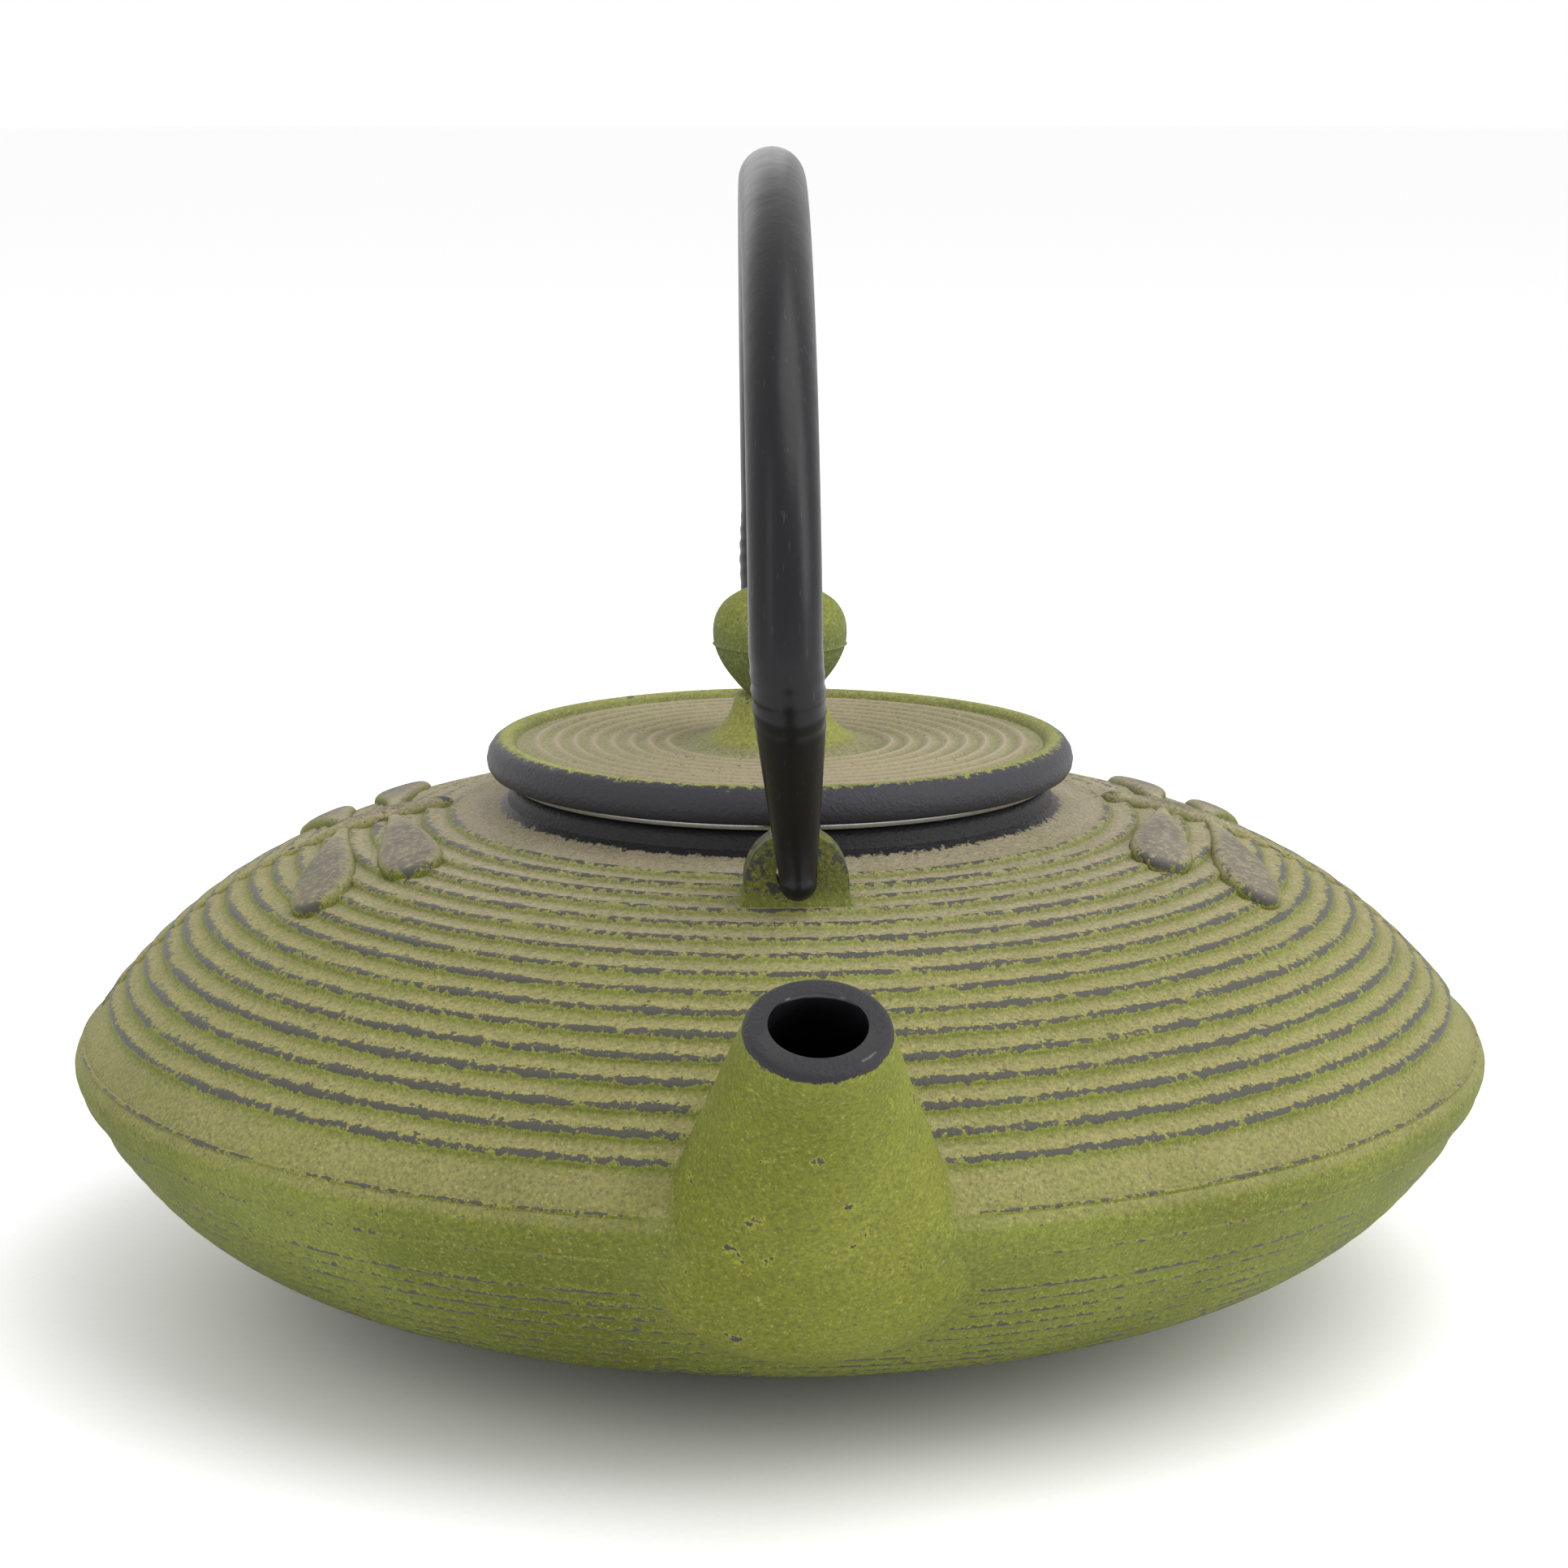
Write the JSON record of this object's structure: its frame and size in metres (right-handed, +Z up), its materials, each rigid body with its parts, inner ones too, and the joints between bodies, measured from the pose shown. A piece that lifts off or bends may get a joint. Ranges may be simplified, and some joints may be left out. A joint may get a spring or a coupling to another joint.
{
  "type": "cast iron teapot",
  "caption": "Flat, lens-shaped cast iron teapot with ribbed dome, short flared spout, swinging bail handle, lid with round knob and lift-out steel strainer.",
  "frame": {"origin": "centre of the flat foot, on the pot's axis", "axes": "+Z up; the spout points along -Y; the handle's arch stands in the plane x = 0 and swings about Y"},
  "size_m": [0.18, 0.1974, 0.1455],
  "materials": {
    "green_iron": "matt olive green enamel rubbed back to dark iron on the ridges",
    "black_iron": "satin black lacquer",
    "stainless": "pressed and polished",
    "steel_mesh": "woven fine wire"
  },
  "bodies": {
    "pot": {"teapot_body": "green_iron"},
    "handle": {"bail_handle": "black_iron"},
    "strainer": {"strainer_rim": "stainless", "strainer_mesh_wall": "steel_mesh", "strainer_mesh_base": "steel_mesh", "strainer_base_ring": "stainless"},
    "lid": {"lid": "green_iron", "lid_knob": "green_iron", "knob_washer": "stainless", "knob_screw": "stainless"}
  },
  "joints": [
    {"name": "handle_swing", "type": "hinge", "parent": "pot", "child": "handle", "pos_m": [0, 0, 0.064], "axis": [0, 1, 0], "range_deg": [-94, 94]},
    {"name": "strainer_lift", "type": "slide", "parent": "pot", "child": "strainer", "axis": [0, 0, 1], "range_m": [0, 0.044]},
    {"name": "lid_lift", "type": "slide", "parent": "strainer", "child": "lid", "axis": [0, 0, 1], "range_m": [0, 0.04]}
  ]
}
